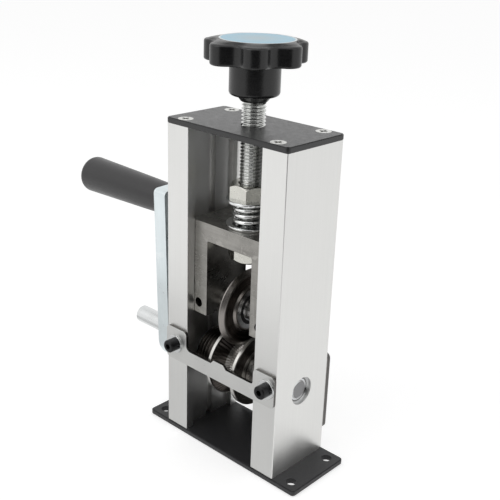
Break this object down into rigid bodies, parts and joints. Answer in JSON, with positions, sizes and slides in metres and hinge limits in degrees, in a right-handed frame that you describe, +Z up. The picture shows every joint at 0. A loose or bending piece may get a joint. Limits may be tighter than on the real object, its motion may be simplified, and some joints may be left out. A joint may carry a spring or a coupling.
{
  "type": "hand crank wire stripper",
  "caption": "Bench wire stripper: a crank turns a toothed feed roller under a cutting wheel in a sprung yoke that a knob raises and lowers.",
  "frame": {"origin": "centre of the base plate's underside", "axes": "+Z up along the lift screw, +X along the drive shaft away from the crank, -Y the side where the wire goes in"},
  "size_m": [0.179, 0.0516, 0.2172],
  "materials": {
    "extrusion": "satin anodised extrusion",
    "black_coat": "satin black powder coat",
    "top_coat": "semi-gloss black coat",
    "bright_screw": "bright zinc plate",
    "guide_sheet": "brushed stainless sheet",
    "black_oxide": "oiled black oxide",
    "bright_washer": "polished zinc plate",
    "bearing_steel": "ground bearing steel",
    "bearing_shield": "pressed steel",
    "bearing_seal": "black rubber",
    "shaft_steel": "ground bright steel",
    "turned_steel": "turned steel",
    "roller_steel": "dark hardened steel, bright lands",
    "cutter_steel": "dark tempered steel, ground bevel",
    "zinc_arm": "pale zinc plate",
    "grip_plastic": "satin moulded plastic",
    "grip_fixings": "plain steel",
    "milled_steel": "raw milled steel",
    "thread_steel": "bright rolled thread",
    "nut_steel": "bright nickel plate",
    "spring_steel": "polished plate",
    "knob_plastic": "glossy moulded plastic",
    "insert_brass": "turned brass",
    "label": null
  },
  "bodies": {
    "frame": {"base_plate": "black_coat", "left_upright": "extrusion", "right_upright": "extrusion", "top_plate": "top_coat", "top_screws": "bright_screw", "base_screws": "bright_screw", "front_guide": "guide_sheet", "guide_screws": "black_oxide", "guide_lock_washers": "black_oxide", "guide_washers": "bright_washer", "rear_guide": "guide_sheet", "rear_guide_screws": "black_oxide", "left_bearing_outer_ring": "bearing_steel", "left_bearing_balls": "bearing_steel", "left_bearing_shields": "bearing_shield", "right_bearing_outer_ring": "bearing_steel", "right_bearing_balls": "bearing_steel", "right_bearing_shields": "bearing_shield"},
    "crank": {"drive_shaft": "shaft_steel", "feed_roller": "roller_steel", "roller_set_screw": "black_oxide", "roller_sleeve": "turned_steel", "arm_sleeve": "turned_steel", "left_bearing_inner_ring": "bearing_steel", "right_bearing_inner_ring": "bearing_steel", "crank_arm": "zinc_arm", "arm_set_screw": "black_oxide", "grip_bolt": "grip_fixings", "grip_washer": "grip_fixings"},
    "handle": {"grip": "grip_plastic"},
    "lift": {"upper_spring_seat": "bright_washer", "spring": "spring_steel"},
    "screw": {"lift_screw": "thread_steel", "upper_nut": "nut_steel", "lower_nut": "nut_steel", "knob": "knob_plastic", "knob_insert": "insert_brass", "knob_label": "label"},
    "slider": {"yoke": "milled_steel", "yoke_set_screws": "black_oxide", "wheel_axle": "shaft_steel", "wheel_spacers": "turned_steel", "wheel_bearing_inner_ring": "bearing_steel", "wheel_bearing_balls": "bearing_steel", "lower_spring_seat": "bright_washer"},
    "cutter": {"cutting_wheel": "cutter_steel", "wheel_bearing_outer_ring": "bearing_steel", "wheel_bearing_shields": "bearing_seal"}
  },
  "joints": [
    {"name": "crank_turn", "type": "hinge", "parent": "frame", "child": "crank", "pos_m": [0, 0, 0.0465], "axis": [1, 0, 0], "range_deg": [-138, 135]},
    {"name": "grip_spin", "type": "hinge", "parent": "crank", "child": "handle", "pos_m": [-0.09, -0.00233, 0.12497], "axis": [1, 0, 0], "continuous": true},
    {"name": "blade_lift", "type": "slide", "parent": "frame", "child": "lift", "axis": [0, 0, 1], "range_m": [-0.001, 0.02]},
    {"name": "knob_turn", "type": "hinge", "parent": "lift", "child": "screw", "pos_m": [0, 0, 0.15], "axis": [0, 0, 1], "range_deg": [-205.8, 4114.4]},
    {"name": "blade_float", "type": "slide", "parent": "lift", "child": "slider", "axis": [0, 0, 1], "range_m": [0, 0.002], "stiffness_N_per_m": 9500, "springref_m": -0.002, "deforming": ["spring"]},
    {"name": "cutter_spin", "type": "hinge", "parent": "slider", "child": "cutter", "pos_m": [0, 0, 0.0802], "axis": [1, 0, 0], "continuous": true}
  ],
  "couplings": [
    {"joint": "knob_turn", "follows": "blade_lift", "rad_per_m": 3590.4}
  ]
}
